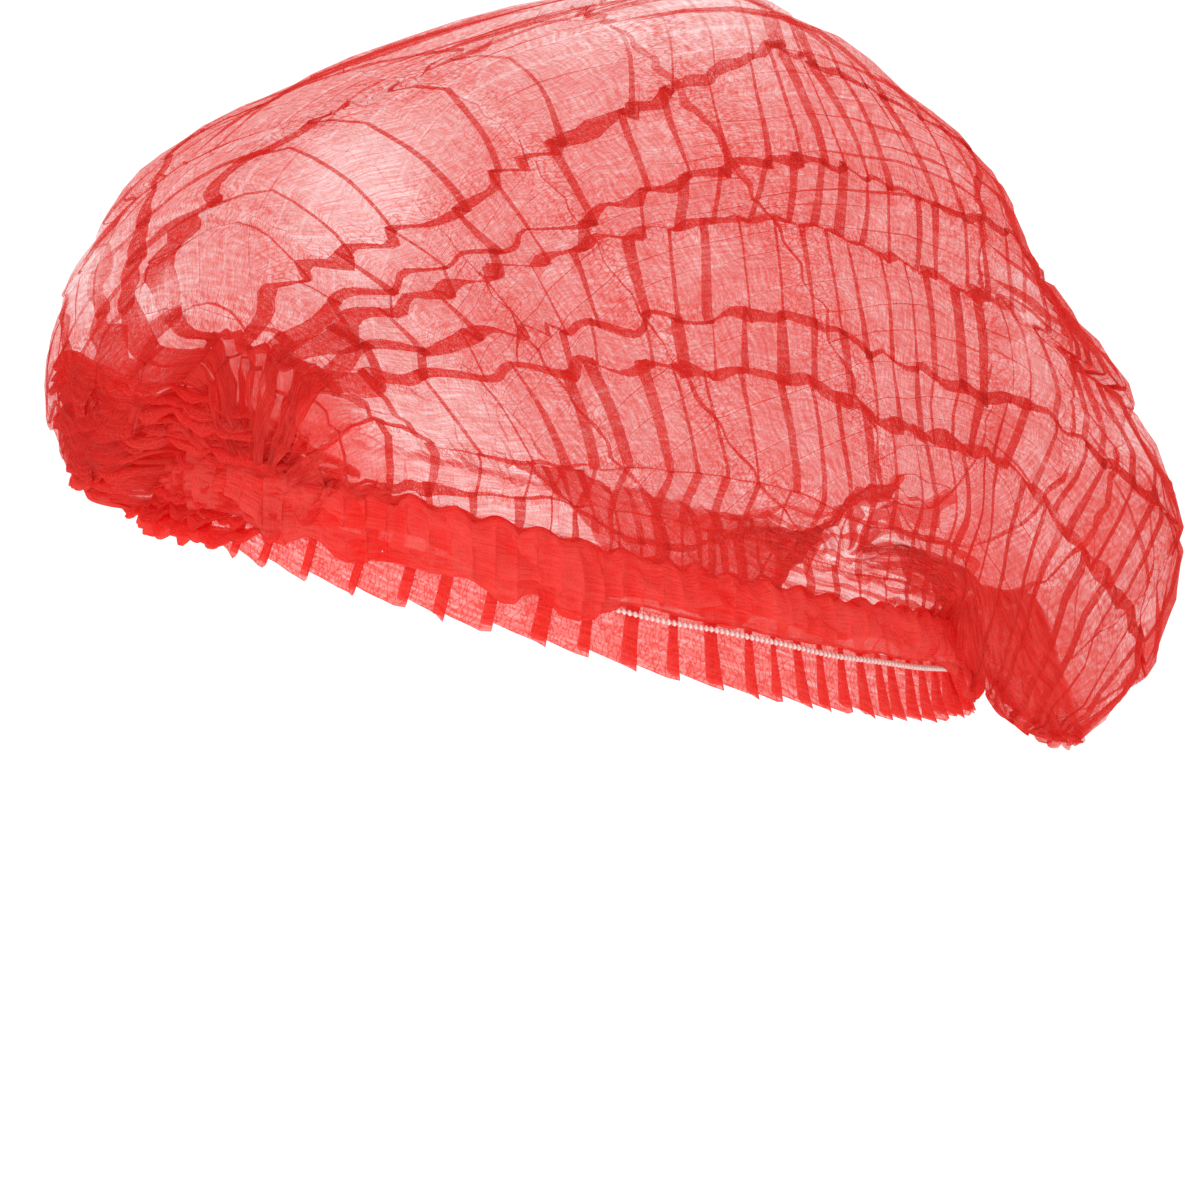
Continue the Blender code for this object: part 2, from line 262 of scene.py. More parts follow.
def crown_form(angle, up):
    """The crown's smooth form. up runs from 0 at the hem to 1 at the crest."""
    shares = section_shares(angle)
    turn = np.radians(angle)
    radius = rim_radius(angle)
    seat_out = radius + CROWN_SEAT_OUT
    seat_up = rim_height(angle) + hem_top() + GAP + CLOTH_WALL / 2
    reaches = [shares[band + "_out"] * radius for band in BANDS]
    heights = [shares[band + "_up"] * CROWN_HEIGHT for band in BANDS]
    rise_out = seat_out + RISE_SHARE * (reaches[0] - seat_out)
    out = np.stack([seat_out, rise_out, *reaches, 0 * radius])
    height = np.stack([seat_up, seat_up + CROWN_RISE, *heights, 0 * radius + CROWN_HEIGHT])
    back = CREST_SETBACK * np.array(PLACES_BACK)[:, None] + 0 * out
    knots = np.array([-PLACES_UP[1], *PLACES_UP, 2 - PLACES_UP[-2]])

    def profile(values, before_hem, past_crest):
        return spline(knots, np.concatenate([[before_hem], values, [past_crest]]), up)

    reach = profile(out, out[1], -out[-2])
    x = reach * np.sin(turn)
    y = profile(back, back[0], back[-2]) - reach * np.cos(turn)
    z = profile(height, 2 * height[0] - height[1], height[-2])
    return np.stack([x, y, z], axis=-1)


def sheet_place(along, across):
    """Angle round the cap and share up it, for a place on the crown's sheet.

    along runs from 0 at the front gather to 180 at the back one. across runs from 90 at the
    hem on the wearer's left, over the crest, to -90 at the hem on the right.
    """
    lean = FOLD_LEAN * np.sin(np.radians(2 * along)) * np.sin(np.radians(2 * across))
    phi = np.radians(along)
    psi = np.radians(across - lean)
    side = np.sin(phi) * np.sin(psi)
    front = np.cos(phi)
    rise = np.clip(np.sin(phi) * np.cos(psi), 0, 1)
    return np.degrees(np.arctan2(side, front)) + CAP_TURN, np.degrees(np.arcsin(rise)) / 90


def fade(value, width):
    """Rises smoothly from 0 to 1 as the value goes from 0 to the width."""
    share = np.clip(value / width, 0, 1)
    return share * share * (3 - 2 * share)


def on_form(along, across):
    """Points of the crown's smooth form, for arrays of any one shape."""
    angle, up = sheet_place(along.ravel(), across.ravel())
    return crown_form(angle, up).reshape(along.shape + (3,))


def form_frame(along, across):
    """Points of the smooth form, outward normals, and metres per degree along and across."""
    step = 0.4
    inside = np.clip(across, -90 + 2 * step, 90 - 2 * step)
    points = on_form(along, across)
    run = (on_form(along + step, inside) - on_form(along - step, inside)) / (2 * step)
    rise = (on_form(along, inside + step) - on_form(along, inside - step)) / (2 * step)
    normals = np.cross(rise, run)
    normals /= np.maximum(np.linalg.norm(normals, axis=-1, keepdims=True), 1e-12)
    return points, normals, np.linalg.norm(run, axis=-1), np.linalg.norm(rise, axis=-1)


def smooth_noise(x, y, seed):
    """Smooth random heights from -1 to 1, one hill or dip for each unit of x and y."""
    size = 97
    table = np.random.default_rng(seed).uniform(-1, 1, (size, size))
    column = np.floor(x).astype(int)
    row = np.floor(y).astype(int)
    s = fade(x - column, 1.0)
    t = fade(y - row, 1.0)

    def corner(right, above):
        return table[(column + right) % size, (row + above) % size]

    low = corner(0, 0) * (1 - s) + corner(1, 0) * s
    high = corner(0, 1) * (1 - s) + corner(1, 1) * s
    return low * (1 - t) + high * t


def line_noise(at, row, seed):
    """Smooth noise along one line of a pattern."""
    return smooth_noise(at, 0 * at + row, seed)


def summed(steps):
    """Running sum of the steps, from 0 on."""
    return np.concatenate([[0], np.cumsum(steps)])


def run_along(points):
    """Length of a line so far, at each of its points."""
    return summed(np.linalg.norm(np.diff(points, axis=0), axis=1))


def rim_run():
    """Angles all round the rim, and its length so far at each."""
    fine = np.linspace(0, 360, 2881)
    return fine, run_along(by_rim(fine, 0 * fine, 0 * fine))


def rim_places(count):
    """Angles of places evenly spaced along the rim, and the rim's length."""
    fine, length = rim_run()
    return np.interp(np.arange(count) / count * length[-1], length, fine), length[-1]


def far_side(angle):
    """1 round the wearer's right side, which shows through from the left, and 0 elsewhere."""
    turn = np.radians(angle)
    return fade(0.1 - 0.82 * np.sin(turn) - 0.57 * np.cos(turn), 0.5)


def closed(values):
    """Values with their first column once more at the end, where a ring closes."""
    return np.concatenate([values, values[:, :1]], axis=1)


def layout(run, widths):
    """A rectangular grid's flat layout, in metres."""
    return np.stack(np.meshgrid(run, widths), -1)


def add_object(name, data):
    """A new object in the scene."""
    item = bpy.data.objects.new(name, data)
    bpy.context.scene.collection.objects.link(item)
    return item


def add_piece(name, sheet, material, faces=None, sharp=50):
    """A named piece of mesh from its points, flat layout in metres and marks for its material."""
    points, flat, marks = sheet
    if faces is None:
        faces = grid_faces(*points.shape[:2])
    mesh = bpy.data.meshes.new(name)
    mesh.from_pydata(points.reshape(-1, 3).tolist(), [], faces.tolist())
    layer = mesh.uv_layers.new(name="flat")
    loops = np.empty(len(mesh.loops), np.int32)
    mesh.loops.foreach_get("vertex_index", loops)
    layer.data.foreach_set("uv", flat.reshape(-1, 2)[loops].astype(np.float32).ravel())
    for mark_name, values in marks.items():
        attribute = mesh.attributes.new(mark_name, "FLOAT", "POINT")
        attribute.data.foreach_set("value", values.astype(np.float32).ravel())
    mesh.materials.append(material)
    mesh.shade_smooth()
    mesh.set_sharp_from_angle(angle=np.radians(sharp))
    return add_object(name, mesh)


def grid_faces(rows, columns, round_columns=False):
    """Quads between neighbouring rows and columns of a grid of points."""
    row, column = np.meshgrid(
        np.arange(rows - 1), np.arange(columns if round_columns else columns - 1), indexing="ij"
    )
    right = (column + 1) % columns
    quads = [
        row * columns + column,
        row * columns + right,
        (row + 1) * columns + right,
        (row + 1) * columns + column,
    ]
    return np.stack(quads, -1).reshape(-1, 4)


def crease_places():
    """Places along the sheet of its crosswise creases, evenly spaced on the cloth."""
    rng = np.random.default_rng(5)
    fine = np.linspace(GATHER_SPREAD, 180 - GATHER_SPREAD, 600)
    length = run_along(on_form(fine, 0 * fine + CREASE_LINE))
    count = int(length[-1] / CREASE_SPACING)
    at = (np.arange(count) + 0.5) * length[-1] / count
    at = at + rng.uniform(-1, 1, count) * CREASE_JITTER
    return np.interp(at, length, fine)


def grid_lines(counts):
    """Cell, share of the cell and fold step (-1 off the folds) of each line across a grid.

    counts has how many plain lines each cell takes. A fold lies between each cell and the next.
    """
    rows = []
    cells = len(counts)
    for cell, between in enumerate(counts):
        shares = (np.arange(between) + 0.5) / between
        if cell == 0:
            shares = np.arange(between) / between
        if cell == cells - 1:
            shares = (np.arange(between) + 1) / between
        rows += [(cell, share, -1) for share in shares]
        if cell < cells - 1:
            rows += [(cell, 1.0, step) for step in range(FOLD_LINES)]
    cell, share, step = np.array(rows).T
    return SimpleNamespace(cell=cell.astype(int), share=share, step=step.astype(int))


def fold_lines(lines, index):
    """Numbers of the six lines of a grid that the fold after a cell takes."""
    return np.nonzero((lines.cell == index) & (lines.step >= 0))[0]


def from_hem(across):
    """Degrees across the crown's sheet from its nearer hem."""
    return 90 - np.abs(across)


def from_gather(along):
    """Degrees along the crown's sheet from its nearer gather."""
    return np.minimum(along, 180 - along)


def fill_between(values, lines, first, last):
    """Sets the plain lines of a grid evenly between the folds on both sides of them."""
    for cell in range(lines.cell.max() + 1):
        at = np.nonzero((lines.cell == cell) & (lines.step < 0))[0]
        start = values[at[0] - 1] if at[0] > 0 else first
        end = values[at[-1] + 1] if at[-1] + 1 < len(values) else last
        for line in at:
            values[line] = start + lines.share[line] * (end - start)


def down_rows(rows, values):
    """Values at the top and foot of each panel of cloth between pleats, read at every row."""
    top, foot = values[rows.cell].T
    after = values[np.minimum(rows.cell + 1, len(values) - 1), 0]
    on_panel = top + rows.share * (foot - top)
    in_fold = foot + (rows.step + 0.5) / FOLD_LINES * (after - foot)
    return np.where(rows.step < 0, on_panel, in_fold)


def crown_grid():
    """The crown's grid: rows from hem to hem, columns from the front gather to the back one.

    The cloth has a fold at each pleat and at each crease, and panels between the pleats.
    """
    creases = crease_places()
    ends = np.concatenate([[GATHER_SPREAD - 5], creases, [180 - GATHER_SPREAD + 5]])
    columns = grid_lines([COLUMNS_BETWEEN] * (len(creases) + 1))
    places = [90, *[np.mean(row[6]) for row in PLEATS], -90]
    rows = grid_lines([max(2, round(wide / ROW_STEP)) for wide in -np.diff(places)])
    along = ends[columns.cell] + columns.share * (ends[columns.cell + 1] - ends[columns.cell])
    lines = np.array([np.interp(along, PLEAT_STATIONS, row[6]) for row in PLEATS])
    edge = np.full((1, len(along)), 90.0)
    stops = np.concatenate([edge, lines, -edge])
    across = stops[rows.cell] + rows.share[:, None] * (stops[rows.cell + 1] - stops[rows.cell])

    off = np.abs(across) - LEAN_LINE
    below = np.interp(along, LEAN_STATIONS, LEAN_BELOW) * np.maximum(off, 0)
    above = np.interp(along, LEAN_STATIONS, LEAN_ABOVE) * np.maximum(-off, 0)
    lean = (below - above) * fade(from_gather(along) - 4, 30)
    _, outward, per_along, per_across = form_frame(along + lean, across)
    angle, up = sheet_place(along + lean, across)
    return SimpleNamespace(
        creases=creases,
        ends=ends,
        rows=rows,
        columns=columns,
        column_at=columns.cell + columns.share,
        lines=lines,
        along=along,
        by_gather=fade(from_gather(along) - GATHER_SPREAD, GATHER_FADE),
        lean=lean,
        angle=angle,
        up=up,
        far=fade(0.08 - outward @ VIEW_BACK, 0.22),
        per_along=np.maximum(per_along, 0.25 * MM),
        per_across=np.maximum(per_across, 0.12 * MM),
    )


def crease_folds(grid, rng):
    """Places along the sheet and lifts of the grid's points, with the creases folded in."""
    creases = grid.creases
    count = len(creases)
    panels = len(PLEATS) + 1
    swing = rng.uniform(0.3, 1.3, (count, panels, 2)) * CREASE_SWING
    swing *= np.where(np.arange(panels) % 2, -1.0, 1.0)[None, :, None]
    swing[..., 1] *= -1
    strong = rng.uniform(0, 1, (count, panels, 2)) ** 2.2
    wide = (0.35 + 2.2 * strong) * MM
    past_side = (creases > 58)[:, None, None] & (rng.uniform(0, 1, (count, 6, 1)) < 0.5)
    wide[:, :6] += past_side * rng.uniform(0.4, 2.0, (count, 6, 2)) * MM
    by_front = (creases > 17) & (creases < 38)
    wide[by_front, 1:4] = rng.uniform(0.9, 2.3, (by_front.sum(), 3, 2)) * MM
    by_back = creases > 114
    wide[by_back] = rng.uniform(0.5, 2.6, (by_back.sum(), panels, 2)) * MM
    way = np.where(rng.uniform(0, 1, count) < 0.5, 1, -1)
    gaps = np.diff(grid.ends)
    room = np.minimum(gaps[:-1], gaps[1:])

    along = np.zeros(grid.lean.shape)
    lift = np.zeros(grid.lean.shape)
    for index in range(count):
        at = fold_lines(grid.columns, index)
        scale = grid.per_along[:, at[0]]
        far = grid.far[:, at[0]]
        limit = 0.25 * room[index]
        middle = np.clip(down_rows(grid.rows, swing[index]) / scale, -limit, limit)
        middle = creases[index] + middle + grid.lean[:, at[0]]
        width = down_rows(grid.rows, wide[index]) * (1 - 0.88 * far)
        width = np.minimum(width / scale, 0.45 * room[index])
        order = np.arange(FOLD_LINES)[::-1] if way[index] > 0 else np.arange(FOLD_LINES)
        for line, column in zip(order, at):
            rounding = FOLD_ROUNDS[line] * np.minimum(FOLD_ROUND / scale, 0.2 * width)
            along[:, column] = middle + way[index] * (FOLD_SHARES[line] * width + rounding)
            lift[:, column] = FOLD_LAYERS[line] * LAYER_GAP * (1 - 0.6 * far)
    fill_between(along.T, grid.columns, grid.ends[0], grid.ends[-1])
    first, last = lift[:, COLUMNS_BETWEEN], lift[:, -1 - COLUMNS_BETWEEN]
    fill_between(lift.T, grid.columns, first, last)
    return along, lift


def valley_depths(lines):
    """Step share of the cloth at each pleat without a step of its own."""
    ridge_at = [90.0]
    ridge = [0.0]
    for line, (pleat_way, steps, *_) in zip(lines, PLEATS):
        if steps:
            low = STEP_SHARES[0] * steps
            ridge_at += [line.mean() + 0.9, line.mean() - 0.9]
            ridge += [low, steps] if pleat_way > 0 else [steps, low]
    ridge_at.append(-90.0)
    ridge.append(0.0)
    return [np.interp(-line.mean(), -np.array(ridge_at), ridge) for line in lines]


def pleat_folds(grid, rng):
    """Places across the sheet and steps outward of the grid's points, with the pleats in.

    Each fold waves from crease to crease. Its wave turns from a curve into a stair past the side.
    """
    along = grid.along
    corners = np.arange(len(grid.creases) + 2)
    near_back = 1 - fade(174 - along, 64)
    past_side = fade(along - 58, 22)
    valleys = valley_depths(grid.lines)
    across = np.zeros(grid.lean.shape)
    step_out = np.zeros(grid.lean.shape)
    for index, (pleat_way, steps, front, middle, back, zigzag, _) in enumerate(PLEATS):
        at = fold_lines(grid.rows, index)
        scale = grid.per_across[at[0]]
        travel = summed(np.diff(along) * grid.per_along[at[0]][1:]) / MM
        phase = travel / MEANDER_PITCH + 0.8 * line_noise(travel / 15, index, 21)
        meander = np.sin(2 * np.pi * phase)
        stair = np.mod(travel / STAIR_PITCH + 0.3 * line_noise(travel / 20, index, 22), 1)
        stair = np.interp(stair, [0, 0.66, 1], [-0.8, 0.9, -0.8])
        size = 0.95 + 0.45 * line_noise(travel / 15, 3 * index, 23)
        wave = meander + (stair - meander) * past_side
        wiggle = line_noise(travel / WIGGLE_PITCH, 7.3 * index, 24) * 0.3
        size = size * zigzag * (1 - 0.5 * past_side)
        wave = (wave * size + wiggle) * MM * (0.3 + 0.7 * grid.by_gather)
        wave = np.clip(wave / scale, -4.6, 4.6)
        at_front = 1 - fade(along - 24, 36 if index < LONG_FOLDS_FROM else 46)
        fold = middle + (front - middle) * at_front + (back - middle) * near_back
        uneven = rng.uniform(0.45, 1.45, len(corners))
        fold = fold * np.interp(grid.column_at, corners, uneven) * MM
        fold = fold * (1.05 + 0.5 * line_noise(travel / 4.6, 5 * index, 25))
        plain = 1 - grid.far[at[0]] * fade(along - 40, 20)
        fold = np.minimum(fold * (0.3 + 0.7 * plain) / scale, 9.0)
        order = np.arange(FOLD_LINES) if pleat_way > 0 else np.arange(FOLD_LINES)[::-1]
        for line, row in zip(order, at):
            rounding = FOLD_ROUNDS[line] * np.minimum(FOLD_ROUND / scale, 0.2 * fold)
            place = FOLD_SHARES[line] * fold + rounding
            across[row] = grid.lines[index] + wave + pleat_way * place
            level = valleys[index] + FOLD_LAYERS[line] * 0.07
            if steps:
                level = steps * STEP_SHARES[line]
            step_out[row] = level * (0.25 + 0.75 * plain) * (1 - 0.5 * fade(along - 108, 20))
    fill_between(across, grid.rows, 90.0, -90.0)
    fill_between(step_out, grid.rows, 0.0, 0.0)
    return across, step_out


def hump(share):
    """0 at both ends of a stretch and 1 in its middle."""
    return 4 * share * (1 - share)


def facet_relief(grid, rng):
    """How far each facet between the folds swells and ridges."""
    facets = (len(PLEATS) + 1, len(grid.creases) + 1)
    facet = rng.normal(0.35, 0.5, facets) * MM
    swell = (hump(grid.rows.share) ** 0.7)[:, None]
    swell = swell * (hump(grid.columns.share) ** 0.8)
    near_ends = np.maximum(1 - fade(grid.along - 40, 30), fade(grid.along - 95, 25))
    swell = swell * (facet[grid.rows.cell][:, grid.columns.cell] + 0.9 * MM * near_ends)
    ridge = rng.uniform(-0.5, 0.7, facets) * MM
    ridge = ridge[grid.rows.cell][:, grid.columns.cell]
    ridge = np.abs(2 * grid.columns.share - 1) ** 2 * ridge
    return swell + ridge * hump(grid.rows.share)[:, None]


def flat_grid(along, across, grid):
    """The crown's sheet laid flat, in metres."""
    flat_along = np.abs(np.diff(along, axis=1)).mean(0) * grid.per_along.mean(0)[1:]
    flat_across = np.abs(np.diff(across, axis=0)).mean(1) * grid.per_across.mean(1)[1:]
    return layout(summed(flat_along), summed(flat_across))


def crown_gathers(grid, across, x, y):
    """Small puffs of the crown's cloth at its rim and in its pouches, front and back."""
    at_rim = 1.2 * (1 - fade(from_hem(across), 12))
    low_side = 1 - fade(from_hem(across), 34)
    ruffle = at_rim + 1.2 * low_side * (1 - fade(grid.along - 34, 20))
    gathers = np.cos(2 * np.pi * grid.column_at) * ruffle * MM
    off_rim = fade(from_hem(across) - 8, 20)
    for start, end, pitch, strength in (
        (8, 24, 5.6, 1.15 * (1 - fade(grid.along - 26, 18))),
        (120, 150, 8.0, 0.8 * fade(grid.along - 106, 20)),
    ):
        inside = (grid.along > start) & (grid.along < end)
        step_across = -np.diff(across, axis=0, prepend=90.0)[:, inside].mean(1)
        step_across = np.abs(step_across) * grid.per_across[:, inside].mean(1)
        bumps = np.cumsum(step_across) / MM / pitch
        bumps = bumps[:, None] + 0.5 * smooth_noise(x / 30, y / 12, 27)
        gathers += np.cos(2 * np.pi * bumps) * strength * off_rim * MM
    return gathers


def front_reach(across):
    """How far along the sheet the bunched cloth at the front gather reaches, in degrees."""
    return np.interp(across, [-60, -5, 25, 80], [36, 34, 20, 14])


def crown_marks(grid, along, across, x, y):
    """How dense the crown's cloth is, and how much it is bent, at each of its points."""
    rows, columns = grid.rows, grid.columns
    thin = np.zeros(along.shape)
    for place_along, place_across, reach in THIN_PLACES:
        away = np.hypot(along - place_along, (across - place_across) * 0.8) / reach
        thin = np.maximum(thin, np.exp(-(away**3)))
    clumps = 0.5 * smooth_noise(x / 14, y / 6, 6) + 0.5 * smooth_noise(x / 5, y / 2.6, 8)
    near_fold = np.exp(-(((1 - rows.share) / 0.16) ** 2)) + np.exp(-((rows.share / 0.16) ** 2))
    bent = np.maximum((rows.step >= 0)[:, None], columns.step >= 0)
    puff = 1 - fade(along - 10, front_reach(across))
    pouch = fade(along - 100, 22)
    rim_side = 1 - fade(from_hem(across), 12)
    far = grid.far * (1 - puff) * (1 - 0.25 * pouch)
    heart = 1 - fade(along - 11, 14)
    foot = (1 - fade(grid.up - 0.10, 0.08)) * far_side(grid.angle)
    foot = np.maximum(foot, fade(-38 - across, 20) * pouch)
    pouch = pouch * (1 - 0.9 * far)
    dense = (0.14 + 0.10 * clumps) * puff + (0.27 + 0.20 * clumps) * pouch
    dense += 0.30 * heart + 0.10 * rim_side * (1 - far) - 0.24 * thin + 0.05 * clumps
    dense -= 0.14 * far * bent + 0.21 * foot
    bend = np.clip(near_fold, 0, 1)[:, None] * np.ones(along.shape)
    return {"dense": dense, "bend": bend}


def crown_sheet():
    """The crown's cloth: its points, its flat layout and its marks."""
    rng = np.random.default_rng(11)
    grid = crown_grid()
    along, lift = crease_folds(grid, rng)
    across, step_out = pleat_folds(grid, rng)
    relief = facet_relief(grid, rng)
    points, normals, _, _ = form_frame(along, across)
    flat = flat_grid(along, across, grid)
    x = flat[..., 0] / MM
    y = flat[..., 1] / MM

    # Wrinkles run over the cloth, and are deeper where it is bunched at the gathers
    bunch = np.maximum(1 - fade(along - 10, front_reach(across)), fade(along - 100, 22))
    wrinkle = 0.9 * smooth_noise(x / 26, y / 21, 1) + 0.45 * smooth_noise(x / 9 + 5, y / 12, 2)
    fine = 0.17 * smooth_noise(x / 3.3, y / 6.5, 3)
    fine += 0.15 * smooth_noise((x + y) / 4.5, (x - y) / 3.0, 4)
    wrinkle = (wrinkle * (1 + 1.2 * bunch) + fine * (1 + 2.2 * bunch)) * MM

    # Pleats step outward, and the cloth hangs slack above the near corner of the nape pouch
    free = grid.by_gather * fade(grid.up - PLACES_UP[2], FULL_DEPTH_AFTER)
    depth = section_shares(grid.angle.ravel())["depth"].reshape(across.shape)
    ease = PLEAT_DEPTH * depth * free
    shingle = np.maximum(STEP_SHARE * ease, LEAST_STEP) * step_out
    slack = fade(grid.along - 104, 14) * fade(across - 12, 15) * fade(74 - across, 14)
    off_edge = fade(from_hem(across), 6)
    out = BASE_SHARE * ease - POUCH_SLACK * slack + shingle + lift
    out = out + (relief + wrinkle) * (0.3 + 0.7 * off_edge) + crown_gathers(grid, across, x, y)
    points = points + normals * out[..., None]
    return points, flat, crown_marks(grid, along, across, x, y)


def frill_sheet():
    """The knife-pleated margin below the elastic."""
    rng = np.random.default_rng(23)
    fine, length = rim_run()
    around = length[-1]
    closeness = 1 + 0.5 * fade(fine - 78, 14) * fade(172 - fine, 20)
    turns = summed(closeness[1:] * np.diff(length))
    turns *= FRILL_PLEATS / turns[-1]
    middles = np.arange(FRILL_PLEATS) + 0.5 + rng.uniform(-0.16, 0.16, FRILL_PLEATS)
    middles = np.interp(middles, turns, length)
    afters = np.append(middles[1:], middles[0] + around)
    width = rng.uniform(0.17, 0.36, FRILL_PLEATS) * (afters - middles)
    lower = rng.uniform(-0.6, 0.6, FRILL_PLEATS) * MM
    turn_at = np.interp(middles, length, fine)
    lean = (rng.uniform(-0.7, 0.7, FRILL_PLEATS) - 2.6 * fade(84 - turn_at, 30)) * MM
    lines = []
    for pleat in range(FRILL_PLEATS):
        for line in range(FOLD_LINES)[::-1]:
            rounding = FOLD_ROUNDS[line] * FOLD_ROUND
            place = middles[pleat] + FOLD_SHARES[line] * width[pleat] + rounding
            lines.append((place, FOLD_LAYERS[line], pleat))
        start = middles[pleat] - 0.5 * width[pleat] + FOLD_ROUND
        end = afters[pleat] + 0.5 * width[(pleat + 1) % FRILL_PLEATS] - FOLD_ROUND
        for step in range(1, FOLD_LINES):
            share = step / FOLD_LINES
            lines.append((start + share * (end - start), 2.0 * share, pleat))
    place, layer, pleat = np.array(lines).T
    pleat = pleat.astype(int)

    rows = 12
    down = np.linspace(0, 1, rows)[:, None]
    fan = place + down * lean[pleat]
    angle = np.interp(np.mod(fan, around), length, fine)
    drop = FRILL_DROP * (1 - FRILL_SIDE_GAIN * np.cos(np.radians(2 * angle)))
    tooth = (layer / 2 - 0.5) * 1.5 * MM + lower[pleat]
    up_at = 1.6 * MM - down * (1.6 * MM + drop + tooth)
    ripple = 0.35 * MM * smooth_noise(fan / (2.2 * MM), down * 3.0 + 0 * fan, 31)
    out = GAP + CLOTH_WALL / 2 + layer * 0.26 * MM
    out = out + down**1.3 * (0.9 * MM + 2.6 * MM * (layer / 2)) + ripple * down
    points = by_rim(angle, out, up_at)
    flat = layout(summed(np.abs(np.diff(place))), np.linspace(0, 0.0128, rows))
    grain = 0.05 * smooth_noise(flat[..., 0] / (4 * MM), flat[..., 1] / (4 * MM), 32)
    marks = {"dense": grain - 0.34 * far_side(angle), "bend": 0.9 + 0 * out}
    return points, flat, marks


def hem_ruffle(seed, low, over):
    """The gathered band above the elastic: a puffed roll with lobes that hang low in front.

    low is the share of the roll's way at which it starts, and over how far out it lies in mm.
    """
    rng = np.random.default_rng(seed)
    columns = HEM_PUCKERS * 11
    rows = 25
    angle, around = rim_places(columns)
    at = np.arange(columns) / columns * HEM_PUCKERS
    cell = np.floor(at).astype(int)
    share = at - cell

    def by_pucker(least, most):
        """A random size for each pucker, which changes evenly from one to the next."""
        sizes = rng.uniform(least, most, HEM_PUCKERS + 1)
        sizes[-1] = sizes[0]
        return sizes[cell] * (1 - share) + sizes[cell + 1] * share

    big = by_pucker(0.3, 1.4)
    slant = by_pucker(-1.6, 1.8)
    edge = low * (1 + 0.45 * line_noise(at / 3.1, 9, seed + 7))
    s = edge + np.linspace(0, 1, rows)[:, None] * (1 - edge)
    turned = np.mod(angle + 180, 360) - 180
    low_front = fade(turned + 52, 14) * fade(67 - turned, 10)
    low_nape = 1.6 * fade(turned - 127, 12) * fade(172 - turned, 14)
    hanging = low_front + low_nape
    lobes = 0.5 + 0.5 * np.cos(2 * np.pi * at / 5.2 + 2.4 * line_noise(at / 5, 0, 43))
    droop = hanging * (2.6 + 3.0 * lobes) + 0.5 * lobes - 0.2
    up_at = np.interp(s, HEM_SHARES, HEM_UP)
    up_at = up_at - np.interp(s, HEM_SHARES, HEM_DROOP) * droop
    out_at = np.interp(s, HEM_SHARES, HEM_OUT) + over
    out_at = out_at + 1.9 * hanging * (1 - fade(s - 0.1, 0.6))
    phase = 2 * np.pi * (at + 0.3 * slant * (s - 0.5))
    swell = np.sin(np.pi * np.clip(s * 1.1, 0, 1)) ** 0.6
    wave = np.sin(phase) + 0.4 * np.sin(2 * phase + 1.3 * slant)
    coarse = smooth_noise(at / 2.3 + 0.8 * s, 3 * s + 0 * phase, seed + 1)
    middle = smooth_noise(at / 0.9 + 1.5 * s, 4 * s + 0 * phase, seed + 2)
    fine = smooth_noise(at * 2.6 + 2 * s, 8 * s + 0 * phase, seed + 3)
    relief = swell * (0.45 * big * wave + 1.4 * coarse + 1.0 * middle) + 0.3 * fine
    shift = 0.8 * MM * np.cos(phase) * big * swell
    turn = np.degrees(shift / rim_radius(angle))
    top = 0.7 * np.sin(phase * 0.5) * fade(s - 0.5, 0.4) + 0.6 * coarse * s
    up_all = (up_at + top + 0.35 * middle * swell) * MM
    points = by_rim(angle + turn, (out_at + relief) * MM, up_all)
    run = np.append(at, HEM_PUCKERS) / HEM_PUCKERS * around * 1.9
    flat = layout(run, np.linspace(0, 0.022, rows))
    marks = {
        "dense": 0.06 * smooth_noise(flat[..., 0] / (5 * MM), flat[..., 1] / (3 * MM), 44)
        - 0.71 * far_side(np.append(angle, 360.0)),
        "bend": 0.25 + 0 * flat[..., 0],
        # Painted shade: paler red on the puckers' ridges and deeper red in their hollows, following
        # the relief.
        "painted_shade_and_bead_tone": closed(relief) * 0.34 + 0.25,
    }
    return closed(points), flat, marks


def outer_reach(turn, high):
    """How far out from the rim the crown's cloth stands, near a height above the rim."""
    ups = np.linspace(0.03, 0.45, 43)
    form = crown_form(np.tile(turn, len(ups)), np.repeat(ups, len(turn)))
    form = form.reshape(len(ups), len(turn), 3)
    reach = np.hypot(form[..., 0], form[..., 1]) - rim_radius(turn)
    rise = form[..., 2] - rim_height(turn)
    near = np.exp(-(((rise - high) / (5 * MM)) ** 4))
    return np.maximum((near * reach).max(0), HEM_STAND)


def front_place(turn, high, out):
    """A point over the front gather: angle, height above the rim, distance off the cloth."""
    return by_rim(turn, outer_reach(turn, high) + out, high)


def nape_place(turn, high, out):
    """A point over the back gather: angle, height above the rim, distance off the cloth."""
    low = hem_top() + GAP
    base = by_rim(turn, HEM_STAND + 0 * turn, high)
    share = fade(high - low + 3 * MM, 9 * MM)
    climb = np.clip((high - low) / (0.5 * CROWN_HEIGHT), 0, 1) * 0.30
    on_rim = by_rim(turn, 0 * turn, high)
    radial = by_rim(turn, 1.0 + 0 * turn, high) - on_rim
    reach = np.clip(((crown_form(turn, climb) - on_rim) * radial).sum(-1), 0.003, 0.02)
    return base + radial * (share * (reach - HEM_STAND) + out)[:, None]


